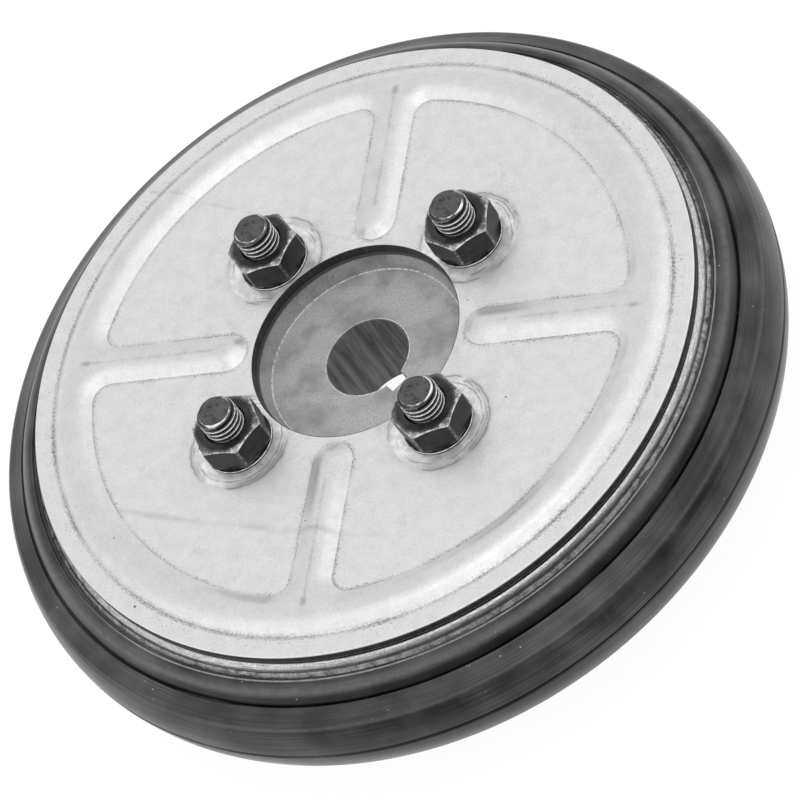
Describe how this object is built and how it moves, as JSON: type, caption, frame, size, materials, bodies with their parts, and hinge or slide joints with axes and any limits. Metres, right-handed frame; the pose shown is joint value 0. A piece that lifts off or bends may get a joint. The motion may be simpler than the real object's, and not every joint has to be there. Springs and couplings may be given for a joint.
{
  "type": "clutch drive disc",
  "caption": "Rubber-tyred drive disc: steel rim and keyed hub clamped between ribbed pressed plates by bolts and nuts.",
  "frame": {"origin": "on the disc's axis, at the level of the undersides of the bolt heads that it lies on", "axes": "+Z along the disc's axis towards the nuts; the pressed spoke ribs run along X and Y"},
  "size_m": [0.165, 0.165, 0.0496],
  "materials": {
    "zinc_plate": "bright zinc plating, satin, faintly scratched",
    "hub_iron": "turned, satin",
    "rim_steel": "turned, stained along the rubber",
    "tyre_rubber": "moulded, satin",
    "black_fasteners": "black oxide, bright at worn edges"
  },
  "bodies": {
    "root": {"front_plate": "zinc_plate", "back_plate": "zinc_plate", "hub": "hub_iron", "rim_ring": "rim_steel", "rubber_tyre": "tyre_rubber", "bolt_1": "black_fasteners", "bolt_2": "black_fasteners", "bolt_3": "black_fasteners", "bolt_4": "black_fasteners", "nut_1": "black_fasteners", "nut_2": "black_fasteners", "nut_3": "black_fasteners", "nut_4": "black_fasteners"}
  },
  "joints": []
}
